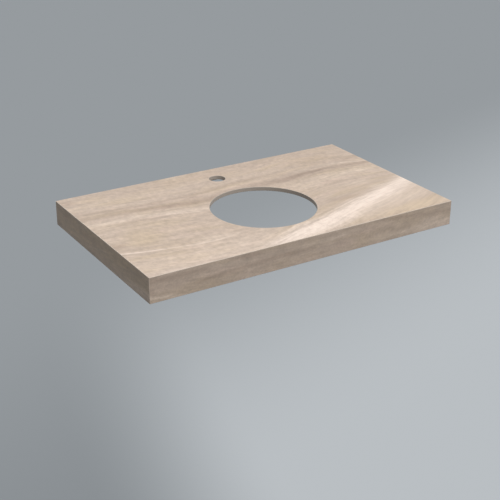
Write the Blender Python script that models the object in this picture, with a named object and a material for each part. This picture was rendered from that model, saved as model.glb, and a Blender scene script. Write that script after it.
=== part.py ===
"""Vanity countertop of porcelain stoneware, made the way a stone shop makes one.

A slab is cut to size with a basin hole and a tap hole. Strips of the same slab hang from its front
and sides as aprons, so that a thin slab looks like a thick block. Every outside corner is a mitre
glued with epoxy, which also fills a bead along the inside of the corner. Ribs, a rear strip and
four fixing blocks with threaded inserts are bonded underneath. The back is open and stands
against the wall.

The frame: +X to the right along the length, +Y to the wall, +Z up. The origin is under the middle
of the top, on the plane that the aprons stand on. Lengths are in metres.
"""

import math

import bmesh
import bpy
from mathutils import Vector

# The finished top
TOP_LENGTH = 0.800
TOP_DEPTH = 0.480
TOP_HEIGHT = 0.060
SLAB_THICKNESS = 0.010
ARRIS = 0.001

# Holes in the slab. The basin hole's centre lies at a share of the depth from the front
BASIN_HOLE_DIAMETER = 0.250
BASIN_HOLE_PLACE_SHARE = 5 / 12
TAP_HOLE_DIAMETER = 0.040
TAP_HOLE_FROM_BACK = 0.067

# Glued joints: the gap that stands for a film of glue, and the epoxy in a mitre
BOND_GAP = 0.0003
SEAM_THICKNESS = 0.0004
BEAD_LEG = 0.008

# Glass-fibre net on the back of the slab and of the aprons
NET_THICKNESS = 0.0006
NET_TO_BEAD = 0.002
NET_TO_BASIN_HOLE = 0.004
NET_TO_TAP_HOLE = 0.012
NET_TO_EDGE = 0.003

# Stiffening strips, ripped from the same slab
RIB_HEIGHT = 0.030
RIB_FROM_BASIN_HOLE = 0.060
REAR_STRIP_WIDTH = 0.025

# Threaded inserts
INSERT_BORE = 0.0068
INSERT_WALL = 0.0026
INSERT_LENGTH = 0.014
INSERT_CHAMFER = 0.0006
INSERT_GROOVE_WIDTH = 0.0015
INSERT_GROOVE_DEPTH = 0.0006
INSERT_GROOVES = 2

# Fixing blocks that hold the inserts
BLOCK_SIDE = 0.060
BLOCK_OVER_INSERT = 0.006
BLOCK_CHAMFER = 0.002
BLOCK_FROM_APRON = 0.020

# How far a cutter runs past the face that it cuts
OVERRUN = 0.002

# Facets of round shapes
BASIN_HOLE_FACETS = 128
TAP_HOLE_FACETS = 64
INSERT_FACETS = 24

# Widest angle, in degrees, between two facets that are shaded as one round face
SMOOTH_ANGLE = 30

# What follows from the sizes above
HALF_LENGTH = TOP_LENGTH / 2
HALF_DEPTH = TOP_DEPTH / 2
SLAB_UNDERSIDE = TOP_HEIGHT - SLAB_THICKNESS
BASIN_HOLE_Y = TOP_DEPTH * BASIN_HOLE_PLACE_SHARE - HALF_DEPTH
TAP_HOLE_Y = HALF_DEPTH - TAP_HOLE_FROM_BACK
MITRE_GAP = SEAM_THICKNESS + 2 * BOND_GAP
NET_STACK = BOND_GAP + NET_THICKNESS + BOND_GAP
APRON_BACK = SLAB_THICKNESS + NET_STACK
STIFFENER_TOP = SLAB_UNDERSIDE - NET_STACK
REAR_STRIP_FRONT = HALF_DEPTH - REAR_STRIP_WIDTH
RIB_X = BASIN_HOLE_DIAMETER / 2 + RIB_FROM_BASIN_HOLE + SLAB_THICKNESS / 2
INSERT_DIAMETER = INSERT_BORE + 2 * INSERT_WALL
BLOCK_HEIGHT = INSERT_LENGTH + BLOCK_OVER_INSERT
BEAD_FACE = BEAD_LEG / math.sqrt(2)
QUARTER_TURN = math.pi / 2

# Colour (linear), roughness and metallic value of each material
FINISHES = {
    "stoneware": ((0.61, 0.50, 0.41), 0.45, 0.0),
    "epoxy": ((0.55, 0.45, 0.36), 0.35, 0.0),
    "glass_net": ((0.72, 0.71, 0.66), 0.55, 0.0),
    "laminate": ((0.025, 0.025, 0.027), 0.5, 0.0),
    "brass": ((0.78, 0.57, 0.27), 0.3, 1.0),
}


def clear_scene():
    for old in list(bpy.data.objects):
        bpy.data.objects.remove(old)


def finish_named(name):
    """The material of that name, made on its first use."""
    found = bpy.data.materials.get(name)
    if found:
        return found
    colour, roughness, metallic = FINISHES[name]
    made = bpy.data.materials.new(name)
    made.use_nodes = True
    shader = made.node_tree.nodes["Principled BSDF"]
    shader.inputs["Base Color"].default_value = (*colour, 1)
    shader.inputs["Roughness"].default_value = roughness
    shader.inputs["Metallic"].default_value = metallic
    return made


def place(name, shape, finish, parent, at=(0, 0, 0), turn=0.0):
    """Turns a bmesh into a named object with its own material, in its parent's frame."""
    bmesh.ops.recalc_face_normals(shape, faces=shape.faces)
    mesh = bpy.data.meshes.new(name)
    shape.to_mesh(mesh)
    shape.free()
    mesh.materials.append(finish_named(finish))
    piece = bpy.data.objects.new(name, mesh)
    piece.location = at
    piece.rotation_euler = (0, 0, turn)
    piece.parent = parent
    bpy.context.scene.collection.objects.link(piece)
    return piece


def box_between(low, high):
    """A box from one corner to the opposite one."""
    shape = bmesh.new()
    bmesh.ops.create_cube(shape, size=1)
    size = Vector(high) - Vector(low)
    middle = (Vector(low) + Vector(high)) / 2
    bmesh.ops.scale(shape, vec=size, verts=shape.verts)
    bmesh.ops.translate(shape, vec=middle, verts=shape.verts)
    return shape


def saw(shape, point, outward, inset=0.0):
    """Saws off what lies outward of a plane, which is set in from the point, and caps the cut."""
    normal = Vector(outward).normalized()
    cut = bmesh.ops.bisect_plane(
        shape,
        geom=shape.verts[:] + shape.edges[:] + shape.faces[:],
        plane_co=Vector(point) - normal * inset,
        plane_no=normal,
        clear_outer=True,
    )
    rim = [edge for edge in cut["geom_cut"] if isinstance(edge, bmesh.types.BMEdge)]
    if rim:
        bmesh.ops.contextual_create(shape, geom=rim)


def ease(shape, corner, outward):
    """Takes the sharp edge that runs through the corner down to a flat arris."""
    saw(shape, corner, outward, ARRIS / math.sqrt(2))


def extruded(outline, first_axis, second_axis, along, length):
    """A closed outline of distances along two axes, extruded from zero along a third."""
    shape = bmesh.new()
    first, second = Vector(first_axis), Vector(second_axis)
    corners = [shape.verts.new(first * a + second * b) for a, b in outline]
    end = shape.faces.new(corners)
    swept = bmesh.ops.extrude_face_region(shape, geom=[end])
    moved = [v for v in swept["geom"] if isinstance(v, bmesh.types.BMVert)]
    bmesh.ops.translate(shape, vec=Vector(along) * length, verts=moved)
    return shape


def turned(profile, facets):
    """A profile of (radius, height) pairs, joined end to start, turned once about the Z axis."""
    shape = bmesh.new()
    points = [shape.verts.new((radius, 0, height)) for radius, height in profile]
    edges = [shape.edges.new(pair) for pair in zip(points, points[1:] + points[:1])]
    bmesh.ops.spin(
        shape,
        geom=points + edges,
        axis=(0, 0, 1),
        cent=(0, 0, 0),
        angle=2 * math.pi,
        steps=facets,
    )
    merge = BOND_GAP / 10
    bmesh.ops.remove_doubles(shape, verts=shape.verts, dist=merge)
    bmesh.ops.dissolve_degenerate(shape, edges=shape.edges, dist=merge)
    return shape


def smooth_round(piece):
    """Shades round walls smooth and leaves the edges between faces sharp."""
    piece.data.shade_smooth()
    piece.data.set_sharp_from_angle(angle=math.radians(SMOOTH_ANGLE))


def cut_out(piece, name, shape, at=(0, 0, 0)):
    """Cuts a shape out of a piece. The cutter stays, hidden, in the piece's own frame."""
    cutter = place(name, shape, "epoxy", piece, at)
    cutter.hide_render = True
    cutter.display_type = "WIRE"
    smooth_round(cutter)
    cut = piece.modifiers.new(name, "BOOLEAN")
    cut.object = cutter
    cut.operation = "DIFFERENCE"


def through_drill(diameter, depth, eased, facets):
    """A cutter for a hole through a plate that stands on Z zero, with both rims eased."""
    radius = diameter / 2
    flare = radius + eased + OVERRUN if eased else radius
    profile = [
        (0, -OVERRUN),
        (flare, -OVERRUN),
        (radius, eased),
        (radius, depth - eased),
        (flare, depth + OVERRUN),
        (0, depth + OVERRUN),
    ]
    return turned(profile, facets)


def top_slab(parent):
    """The slab: mitred at the front and sides, square at the back, with its two holes."""
    low = (-HALF_LENGTH, -HALF_DEPTH, 0)
    high = (HALF_LENGTH, HALF_DEPTH, SLAB_THICKNESS)
    shape = box_between(low, high)
    for (x, y), (edge_x, edge_y, _) in (((0, -1), low), ((-1, 0), low), ((1, 0), high)):
        edge = (edge_x, edge_y, SLAB_THICKNESS)
        saw(shape, edge, (x, y, -1), MITRE_GAP / 2)
        ease(shape, edge, (x, y, 1))
    ease(shape, high, (0, 1, 1))
    ease(shape, (0, HALF_DEPTH, 0), (0, 1, -1))
    slab = place("top_slab", shape, "stoneware", parent, (0, 0, SLAB_UNDERSIDE))
    for name, diameter, y, facets in (
        ("basin_hole_drill", BASIN_HOLE_DIAMETER, BASIN_HOLE_Y, BASIN_HOLE_FACETS),
        ("tap_hole_drill", TAP_HOLE_DIAMETER, TAP_HOLE_Y, TAP_HOLE_FACETS),
    ):
        drill = through_drill(diameter, SLAB_THICKNESS, ARRIS, facets)
        cut_out(slab, name, drill, (0, y, 0))


def mitre_end(shape, end, side, inset):
    """Mitres the end of an apron's piece, where side is -1 at its left end and 1 at its right."""
    saw(shape, (end, 0, 0), (side, 1, 0), inset)


def apron(name, length, mitred, parent, at, turn):
    """An apron, whose outer face is on Y zero: mitred along its top and at the listed ends."""
    half = length / 2
    shape = box_between((-half, 0, 0), (half, SLAB_THICKNESS, TOP_HEIGHT))
    saw(shape, (0, 0, TOP_HEIGHT), (0, 1, 1), MITRE_GAP / 2)
    ease(shape, (0, 0, TOP_HEIGHT), (0, -1, 1))
    ease(shape, (0, 0, 0), (0, -1, -1))
    ease(shape, (0, SLAB_THICKNESS, 0), (0, 1, -1))
    for side in (-1, 1):
        if side in mitred:
            mitre_end(shape, side * half, side, MITRE_GAP / 2)
        ease(shape, (side * half, 0, 0), (side, -1, 0))
    return place(name, shape, "stoneware", parent, at, turn)


def seam_outline():
    """Section of a mitre's epoxy, as distances in from the two outer faces: a sheet and a bead."""
    half_sheet = SEAM_THICKNESS / math.sqrt(2) / 2
    outside = ARRIS / 2
    inside = SLAB_THICKNESS + BOND_GAP
    bead = SLAB_THICKNESS + BEAD_LEG - BOND_GAP
    return [
        (outside + half_sheet, outside - half_sheet),
        (inside + 2 * half_sheet, inside),
        (bead, inside),
        (inside, bead),
        (inside, inside + 2 * half_sheet),
        (outside - half_sheet, outside + half_sheet),
    ]


def apron_seam(name, length, mitred, parent):
    """The epoxy along an apron's top, which meets the other seams of a corner at 45 degrees."""
    half = length / 2
    shape = extruded(seam_outline(), (0, 1, 0), (0, 0, -1), (1, 0, 0), length)
    bmesh.ops.translate(shape, vec=(-half, 0, TOP_HEIGHT), verts=shape.verts)
    for side in mitred:
        mitre_end(shape, side * half, side, BOND_GAP / 2)
        saw(shape, (side * half, 0, TOP_HEIGHT), (side, 0, -1), BOND_GAP / 2)
    place(name, shape, "epoxy", parent)


def corner_seam(name, parent, at, turn):
    """The epoxy down a front corner, in a frame with the outer corner on its Z axis."""
    shape = extruded(seam_outline(), (1, 0, 0), (0, 1, 0), (0, 0, 1), TOP_HEIGHT)
    top = (0, 0, TOP_HEIGHT)
    saw(shape, top, (1, 0, 1), BOND_GAP / 2)
    saw(shape, top, (0, 1, 1), BOND_GAP / 2)
    place(name, shape, "epoxy", parent, at, turn)


def apron_net(name, length, mitred, parent):
    """The net on an apron's back, cut back from the beads, the bottom and a square end."""
    clear_of_bead = SLAB_THICKNESS + BEAD_LEG + NET_TO_BEAD
    left, right = (clear_of_bead if side in mitred else NET_TO_EDGE for side in (-1, 1))
    face = SLAB_THICKNESS + BOND_GAP
    low = (left - length / 2, face, NET_TO_EDGE)
    high = (length / 2 - right, face + NET_THICKNESS, TOP_HEIGHT - clear_of_bead)
    place(name, box_between(low, high), "glass_net", parent)


def aprons(parent):
    """The three aprons, each with its seam and its net, and the seams of the front corners."""
    for side, length, mitred, at, turn in (
        ("front", TOP_LENGTH, (-1, 1), (0, -HALF_DEPTH, 0), 0.0),
        ("left", TOP_DEPTH, (1,), (-HALF_LENGTH, 0, 0), -QUARTER_TURN),
        ("right", TOP_DEPTH, (-1,), (HALF_LENGTH, 0, 0), QUARTER_TURN),
    ):
        strip = apron(side + "_apron", length, mitred, parent, at, turn)
        apron_seam(side + "_mitre_seam", length, mitred, strip)
        apron_net(side + "_apron_net", length, mitred, strip)
    corner_seam("left_corner_seam", parent, (-HALF_LENGTH, -HALF_DEPTH, 0), 0.0)
    corner_seam("right_corner_seam", parent, (HALF_LENGTH, -HALF_DEPTH, 0), QUARTER_TURN)


def slab_net(parent):
    """The net on the slab's underside, cut back from the beads, the back edge and the holes."""
    clear_of_bead = SLAB_THICKNESS + BEAD_LEG + NET_TO_BEAD
    side = HALF_LENGTH - clear_of_bead
    low = (-side, clear_of_bead - HALF_DEPTH, 0)
    high = (side, HALF_DEPTH - NET_TO_EDGE, NET_THICKNESS)
    level = SLAB_UNDERSIDE - BOND_GAP - NET_THICKNESS
    net = place("slab_net", box_between(low, high), "glass_net", parent, (0, 0, level))
    basin = BASIN_HOLE_DIAMETER + 2 * NET_TO_BASIN_HOLE
    tap = TAP_HOLE_DIAMETER + 2 * NET_TO_TAP_HOLE
    for name, diameter, y, facets in (
        ("net_basin_cutter", basin, BASIN_HOLE_Y, BASIN_HOLE_FACETS),
        ("net_tap_cutter", tap, TAP_HOLE_Y, TAP_HOLE_FACETS),
    ):
        cut_out(net, name, through_drill(diameter, NET_THICKNESS, 0, facets), (0, y, 0))


def clear_bead(shape, inner_corner, outward):
    """Snips a stiffener's top corner so that it passes the bead in that inner corner."""
    saw(shape, inner_corner, outward, BEAD_FACE + BOND_GAP)


def rib(name, x, parent):
    """A strip on edge, bonded to the slab and the front apron and butted to the rear strip."""
    half = SLAB_THICKNESS / 2
    low = (-half, APRON_BACK - HALF_DEPTH, -RIB_HEIGHT)
    shape = box_between(low, (half, REAR_STRIP_FRONT - BOND_GAP, 0))
    clear_bead(shape, (0, SLAB_THICKNESS - HALF_DEPTH, NET_STACK), (0, -1, 1))
    for side in (-1, 1):
        ease(shape, (side * half, 0, -RIB_HEIGHT), (side, 0, -1))
    place(name, shape, "stoneware", parent, (x, 0, STIFFENER_TOP))


def rear_strip(parent):
    """A strip laid flat along the open back edge, from one side apron to the other."""
    half = HALF_LENGTH - APRON_BACK
    low = (-half, -REAR_STRIP_WIDTH, -SLAB_THICKNESS)
    shape = box_between(low, (half, 0, 0))
    for side in (-1, 1):
        inner_corner = (side * (HALF_LENGTH - SLAB_THICKNESS), 0, NET_STACK)
        clear_bead(shape, inner_corner, (side, 0, 1))
    ease(shape, low, (0, -1, -1))
    ease(shape, (0, 0, -SLAB_THICKNESS), (0, 1, -1))
    place("rear_strip", shape, "stoneware", parent, (0, HALF_DEPTH, STIFFENER_TOP))


def block_shape():
    """A block that hangs from Z zero, with its lower edges and its upright corners chamfered."""
    half = BLOCK_SIDE / 2
    shape = box_between((-half, -half, -BLOCK_HEIGHT), (half, half, 0))
    inset = BLOCK_CHAMFER / math.sqrt(2)
    for x, y in ((1, 0), (-1, 0), (0, 1), (0, -1)):
        saw(shape, (x * half, y * half, -BLOCK_HEIGHT), (x, y, -1), inset)
    for x, y in ((1, 1), (1, -1), (-1, 1), (-1, -1)):
        saw(shape, (x * half, y * half, 0), (x, y, 0), inset)
    return shape


def insert_profile():
    """Section of an insert that stands on Z zero: chamfered ends, and grooves that key into glue."""
    bore, outer = INSERT_BORE / 2, INSERT_DIAMETER / 2
    root = outer - INSERT_GROOVE_DEPTH
    chamfer = INSERT_CHAMFER
    profile = [(bore + chamfer, 0), (outer - chamfer, 0), (outer, chamfer)]
    pitch = INSERT_LENGTH / (INSERT_GROOVES + 1)
    for groove in range(1, INSERT_GROOVES + 1):
        low = pitch * groove - INSERT_GROOVE_WIDTH / 2
        high = low + INSERT_GROOVE_WIDTH
        profile += [(outer, low), (root, low), (root, high), (outer, high)]
    shoulder = INSERT_LENGTH - chamfer
    profile += [(outer, shoulder), (outer - chamfer, INSERT_LENGTH)]
    profile += [(bore + chamfer, INSERT_LENGTH), (bore, shoulder), (bore, chamfer)]
    return profile


def insert_hole():
    """A cutter for the blind hole that an insert is glued into, up from Z zero."""
    radius = INSERT_DIAMETER / 2 + BOND_GAP
    depth = INSERT_LENGTH + 2 * BOND_GAP
    profile = [(0, -OVERRUN), (radius, -OVERRUN), (radius, depth), (0, depth)]
    return turned(profile, INSERT_FACETS)


def fixing_blocks(parent):
    """A block near each corner of the underside, with an insert glued into it from below."""
    margin = BLOCK_FROM_APRON + BLOCK_SIDE / 2
    right = HALF_LENGTH - APRON_BACK - margin
    front = APRON_BACK + margin - HALF_DEPTH
    rear = REAR_STRIP_FRONT - margin
    foot = -BLOCK_HEIGHT
    for name, x, y in (
        ("front_left", -right, front),
        ("front_right", right, front),
        ("rear_left", -right, rear),
        ("rear_right", right, rear),
    ):
        at = (x, y, STIFFENER_TOP)
        block = place(name + "_block", block_shape(), "laminate", parent, at)
        cut_out(block, name + "_insert_drill", insert_hole(), (0, 0, foot))
        sleeve = turned(insert_profile(), INSERT_FACETS)
        insert = place(name + "_insert", sleeve, "brass", block, (0, 0, foot + BOND_GAP))
        smooth_round(insert)


def main():
    clear_scene()
    countertop = bpy.data.objects.new("countertop", None)
    bpy.context.scene.collection.objects.link(countertop)
    top_slab(countertop)
    aprons(countertop)
    slab_net(countertop)
    rib("left_rib", -RIB_X, countertop)
    rib("right_rib", RIB_X, countertop)
    rear_strip(countertop)
    fixing_blocks(countertop)


main()
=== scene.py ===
# %% [markdown]
# # A stone-look vanity countertop
#
# This notebook dresses the model of a bathroom countertop. The real one is a slab of porcelain
# stoneware 10 mm thick. Strips of the same slab hang from its edges as aprons, glued on at mitred
# corners, so that the top looks like a solid block 60 mm high. Below are glass-fibre nets, two
# ribs, a rear strip and four fixing blocks with brass inserts.
#
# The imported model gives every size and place. Here each piece gets its finish, and the pieces
# whose edges show from close by get finer meshes.

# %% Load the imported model
import math
from functools import partial

import bmesh
import bpy
from mathutils import Matrix, Vector, noise


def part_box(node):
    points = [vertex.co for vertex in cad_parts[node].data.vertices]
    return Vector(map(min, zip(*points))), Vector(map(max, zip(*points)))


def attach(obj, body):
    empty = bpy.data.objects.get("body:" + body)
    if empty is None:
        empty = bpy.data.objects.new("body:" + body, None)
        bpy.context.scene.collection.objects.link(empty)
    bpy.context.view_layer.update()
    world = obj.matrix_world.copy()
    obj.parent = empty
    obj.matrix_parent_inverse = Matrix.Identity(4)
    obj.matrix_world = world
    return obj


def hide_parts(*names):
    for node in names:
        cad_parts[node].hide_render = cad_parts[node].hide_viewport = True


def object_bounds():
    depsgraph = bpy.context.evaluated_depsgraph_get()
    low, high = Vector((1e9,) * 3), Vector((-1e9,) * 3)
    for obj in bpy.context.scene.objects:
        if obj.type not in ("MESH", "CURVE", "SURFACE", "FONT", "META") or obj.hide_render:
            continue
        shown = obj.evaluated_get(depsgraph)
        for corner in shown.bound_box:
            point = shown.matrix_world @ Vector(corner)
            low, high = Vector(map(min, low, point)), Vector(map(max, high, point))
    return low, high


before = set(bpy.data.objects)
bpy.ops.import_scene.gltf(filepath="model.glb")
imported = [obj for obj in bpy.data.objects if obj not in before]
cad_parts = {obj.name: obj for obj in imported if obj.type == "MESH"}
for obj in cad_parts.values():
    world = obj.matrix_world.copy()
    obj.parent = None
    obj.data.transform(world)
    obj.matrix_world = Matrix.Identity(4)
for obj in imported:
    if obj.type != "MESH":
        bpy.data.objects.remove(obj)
cad_low, cad_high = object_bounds()
BODY = "root"
print("nodes:", len(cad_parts), "box:", tuple(cad_low), tuple(cad_high))

# %% [markdown]
# ## Sizes from the model
#
# A scene could repeat the sizes as numbers, but then it would drift away from the model. Here they
# are measured on the model's own pieces. The slab's thickness, for instance, is the height of its
# box. A few sizes that no box shows, such as the radius of an eased edge, are real shop values.

# %% Measure the pieces
MM = 0.001
length, depth, height = cad_high - cad_low
slab_low, slab_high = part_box("top_slab")
net_low, net_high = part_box("slab_net")
thickness = slab_high.z - slab_low.z

ARRIS_RADIUS = 1.2 * MM
SEAM_WIDTH = 0.4 * MM
SEAM_PLAY = 0.02 * MM
OVERRUN = 2 * MM
print(f"top {length / MM:.1f} x {depth / MM:.1f} x {height / MM:.1f} mm, slab {thickness / MM:.1f} mm")

# %% [markdown]
# The round holes are found on the pieces themselves: the points of each hole's wall lie near a
# known place, and no other points do. The nearest of them to their middle gives the radius.

# %% Find the holes
BASIN_SEARCH, TAP_SEARCH = (-40 * MM, 130 * MM), (173 * MM, 35 * MM)


def hole_in(name, near_y, reach):
    """(middle, radius) of the round hole in a CAD node, from the points of its wall."""
    points = [v.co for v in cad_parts[name].data.vertices]
    wall = [p for p in points if abs(p.x) < reach and abs(p.y - near_y) < reach]
    low_y, high_y = min(p.y for p in wall), max(p.y for p in wall)
    middle = Vector((0, (low_y + high_y) / 2, 0))
    return middle, min((Vector((p.x, p.y, 0)) - middle).length for p in wall)


basin, tap = hole_in("top_slab", *BASIN_SEARCH), hole_in("top_slab", *TAP_SEARCH)
print(f"basin hole {2 * basin[1] / MM:.1f} mm, tap hole {2 * tap[1] / MM:.1f} mm across")

# %% [markdown]
# Blender keeps a mesh, a lamp or a camera apart from the object that shows it. One function makes
# the object, and the whole scene is built with it.

# %% Put a thing in the scene
def in_scene(name, data):
    """A new object in the scene, which shows a mesh, a lamp or a camera."""
    made = bpy.data.objects.new(name, data)
    bpy.context.scene.collection.objects.link(made)
    return made


# %% [markdown]
# ## The camera
#
# The photo was matched by fitting a camera to the seven visible corners of the block. That gives a
# long lens, from the front left and a little above. The camera's axes are worked out from those
# angles: one axis points back from the object, one to the right and one up.

# %% Camera at the photo's angle
LENS, SENSOR = 76.26, 36.0
AZIMUTH, ELEVATION, ROLL = (math.radians(a) for a in (-32.12, 24.57, 0.39))
DISTANCE = 2.240
LOOK_AT = Vector((-0.156, -0.231, 0.060))

ahead = math.cos(ELEVATION)
back = Vector((math.sin(AZIMUTH) * ahead, -math.cos(AZIMUTH) * ahead, math.sin(ELEVATION)))
level_right = Vector((0, 0, 1)).cross(back).normalized()
level_up = back.cross(level_right)
right = level_right * math.cos(ROLL) + level_up * math.sin(ROLL)
up = level_up * math.cos(ROLL) - level_right * math.sin(ROLL)

lens = bpy.data.cameras.new("camera")
lens.lens, lens.sensor_width = LENS, SENSOR
camera = in_scene("camera", lens)
camera.matrix_world = Matrix((right, up, back)).transposed().to_4x4()
camera.location = LOOK_AT + back * DISTANCE
bpy.context.scene.camera = camera
print("camera at", tuple(round(c, 3) for c in camera.location))

# %% [markdown]
# ## Colours and nodes
#
# Colours are written as the hex values that a paint chart would give. A shader works in linear
# light, so one function turns them. Another adds a shader node with its settings and its links, and
# returns what the node gives: materials here are made of many nodes, and this keeps each of them to
# a line or two. Each material binds it to its own node tree and calls it `add`. Three kinds of node
# are nearly always set in the same way here, so that way is written once.

# %% Helpers for colours and nodes
USUAL = {
    "MapRange": {"interpolation_type": "SMOOTHSTEP"},
    "Mix": {"data_type": "RGBA"},
    "VectorRotate": {"rotation_type": "Z_AXIS"},
}


def linear(hex_colour):
    """An sRGB hex colour as linear red, green, blue and alpha."""
    parts = [int(hex_colour[i:i + 2], 16) / 255 for i in (1, 3, 5)]
    return (*(p / 12.92 if p <= 0.04045 else ((p + 0.055) / 1.055) ** 2.4 for p in parts), 1)


def node(tree, kind, inputs=(), output=None, **settings):
    """Adds a shader node and returns one of its outputs, by name or else the first that it shows.

    Inputs go by name, or in the order in which the node shows them. Each is a value or a link."""
    made = tree.nodes.new("ShaderNode" + kind)
    for name, value in {**USUAL.get(kind, {}), **settings}.items():
        setattr(made, name, value)
    if not isinstance(inputs, dict):
        inputs = dict(zip([i for i, socket in enumerate(made.inputs) if socket.enabled], inputs))
    for key, value in inputs.items():
        if isinstance(value, bpy.types.NodeSocket):
            tree.links.new(value, made.inputs[key])
        else:
            made.inputs[key].default_value = value
    if output:
        return made.outputs[output]
    return next((socket for socket in made.outputs if socket.enabled), None)


# %% [markdown]
# ## Meshes
#
# Many pieces here have the same section all along, or one that changes slowly: a thread, a bead of
# glue, a turned insert. All are built as rings of points with walls between them.

# %% Helpers for meshes
def full_turn(count):
    """Angles that share a whole turn."""
    return [2 * math.pi * i / count for i in range(count)]


def skin(shape, rings, closed=False):
    """Walls from ring to ring of places: capped at the two ends, or closed on themselves."""
    rings = [[shape.verts.new(place) for place in ring] for ring in rings]
    faces = [] if closed else [shape.faces.new(rings[0]), shape.faces.new(rings[-1])]
    rings += rings[:1] if closed else []
    for one, other in zip(rings, rings[1:]):
        for i in range(len(one)):
            j = (i + 1) % len(one)
            faces.append(shape.faces.new((one[i], one[j], other[j], other[i])))
    bmesh.ops.recalc_face_normals(shape, faces=faces)
    return faces


def as_mesh(name, shape, materials=()):
    """Turns a bmesh into a mesh with material slots."""
    mesh = bpy.data.meshes.new(name)
    shape.to_mesh(mesh)
    shape.free()
    for material in materials:
        mesh.materials.append(material)
    return mesh


def as_object(name, shape, materials=()):
    """Turns a bmesh into an object in the scene."""
    return in_scene(name, as_mesh(name, shape, materials))


# %% [markdown]
# ## The studio
#
# The object hangs free in front of a plain grey sweep, as in the photo. A wide floor lies 3 m below
# it, so that its shadow there is wide and very soft. A sun lamp lights every place alike, like a
# large softbox far away. The key is nearly overhead, a little to the front and the right: the front
# gets about half the light of the top, and the left side a quarter. A weak one from behind lifts
# the back.
#
# The photo's sweep is paler in a pool at the front right. The floor's colour paints that pool of light,
# with two soft fades: one towards the back and one towards the left. Past the left fade, a darker grey
# paints shade. A third fade, far out, takes the floor to the grey of the world behind it, so that no
# horizon shows. To the light that the floor sends back to the object, it is a neutral grey, so that it
# doesn't tint the stone.

# %% Floor
FLOOR_BELOW = 3.0
FLOOR_RADIUS = 87.0
FLOOR_FACETS = 64
# The pool grey paints a pool of light on the floor, and the side grey paints shade beside it.
GREY_FAR, PAINTED_SHADE_GREY, PAINTED_LIGHT_POOL_GREY = linear("#979CA0"), linear("#8A8F93"), linear("#BBC0C4")
GREY_BOUNCE = linear("#808080")
PAINTED_POOL_BACK = {"turn": math.radians(-17.5), "axis": "Y", "start": 1.80, "end": 5.23}
PAINTED_POOL_LEFT = {"turn": math.radians(12.8), "axis": "X", "start": -0.01, "end": 1.21}
RIM_START, RIM_END = 9.0, 30.0


def seen_directly(add):
    """1 for rays from the camera, a reflection or a clear solid, and 0 for the light's own."""
    path = add("LightPath").node.outputs
    seen = add("Math", (path["Is Camera Ray"], path["Is Glossy Ray"]), operation="MAXIMUM")
    return add("Math", (seen, path["Is Transmission Ray"]), operation="MAXIMUM")


def fade(add, place, turn, axis, start, end):
    """Goes from 0 to 1 across the floor, along one axis of a turned frame."""
    turned = add("VectorRotate", {"Vector": place, "Angle": turn})
    return add("MapRange", (add("SeparateXYZ", (turned,), axis), start, end))


def floor_finish():
    """A matt paper sweep: greys with painted light and shade where seen, neutral grey for what it sends
    back.
    """
    made = bpy.data.materials.new("studio_floor")
    made.use_nodes = True
    made.node_tree.nodes.clear()
    add = partial(node, made.node_tree)
    place = add("NewGeometry", output="Position")
    grey = add("Mix", (fade(add, place, **PAINTED_POOL_LEFT), PAINTED_SHADE_GREY, PAINTED_LIGHT_POOL_GREY))
    grey = add("Mix", (fade(add, place, **PAINTED_POOL_BACK), grey, GREY_FAR))
    away = add("VectorMath", (place,), operation="LENGTH")
    grey = add("Mix", (add("MapRange", (away, RIM_START, RIM_END)), grey, GREY_FAR))
    shown = add("Mix", (seen_directly(add), GREY_BOUNCE, grey))
    add("OutputMaterial", {"Surface": add("BsdfDiffuse", {"Color": shown})})
    return made


floor_shape = bmesh.new()
bmesh.ops.create_circle(floor_shape, cap_ends=True, segments=FLOOR_FACETS, radius=FLOOR_RADIUS)
floor = as_object("floor", floor_shape, [floor_finish()])
floor.location.z = -FLOOR_BELOW
print("floor", FLOOR_BELOW, "m below the top's foot")

# %% Lamps and sky
SKY_LEVEL = 0.11


def softbox(name, toward, level, width):
    """A sun lamp. Its level is the brightness that it alone gives a white surface facing it."""
    lamp = bpy.data.lights.new(name, "SUN")
    lamp.energy = level * math.pi
    lamp.angle = math.radians(width)
    made = in_scene(name, lamp)
    made.rotation_mode = "QUATERNION"
    made.rotation_quaternion = Vector(toward).to_track_quat("Z", "Y")
    print(name, "level", level)


softbox("key_softbox", (0.13, -0.39, 0.912), level=0.85, width=60)
softbox("back_softbox", (0.0, 0.87, 0.5), level=0.20, width=15)

sky = bpy.data.worlds.new("sky")
sky.use_nodes = True
sky.node_tree.nodes.clear()
add_sky = partial(node, sky.node_tree)
sky_light = (SKY_LEVEL, SKY_LEVEL, SKY_LEVEL, 1)
sky_colour = add_sky("Mix", (seen_directly(add_sky), sky_light, GREY_FAR))
add_sky("OutputWorld", {"Surface": add_sky("Background", {"Color": sky_colour})})
bpy.context.scene.world = sky
bpy.context.scene.view_settings.view_transform = "Standard"

# %% [markdown]
# ## What all finishes share
#
# Every finish starts from a place on its piece in millimetres, so that a pattern has its real size.
# Noise gives the patterns. It keeps close to a half, so each use says between which of its values it
# acts. Every finish ends with a colour, a roughness and a height that go to the shader. The height
# goes through a Bump node whose distance is the real relief.

# %% Start, pattern and end of a finish
NARROW, MIDDLE, WIDE, FULL = (0.35, 0.65), (0.3, 0.7), (0.25, 0.75), (0.2, 0.8)
STREAK_ROUGHNESS = 0.6


def new_finish(name):
    """A new material, what adds nodes to it, and the place on the piece in mm."""
    made = bpy.data.materials.new(name)
    made.use_nodes = True
    add = partial(node, made.node_tree)
    place = add("VectorMath", (add("TexCoord", output="Object"), 1 / MM), operation="SCALE")
    return made, add, place


def streaks(add, place, long, wide, detail, seed):
    """Noise drawn out along the first axis: about long by wide mm, from 0 to 1 around a half."""
    size = (1 / long, 1 / wide, 1 / wide)
    moved = add("VectorMath", (place, size, (seed, seed, seed)), operation="MULTIPLY_ADD")
    look = {"Scale": 1.0, "Detail": detail, "Roughness": STREAK_ROUGHNESS}
    return add("TexNoise", {"Vector": moved, **look})


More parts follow.
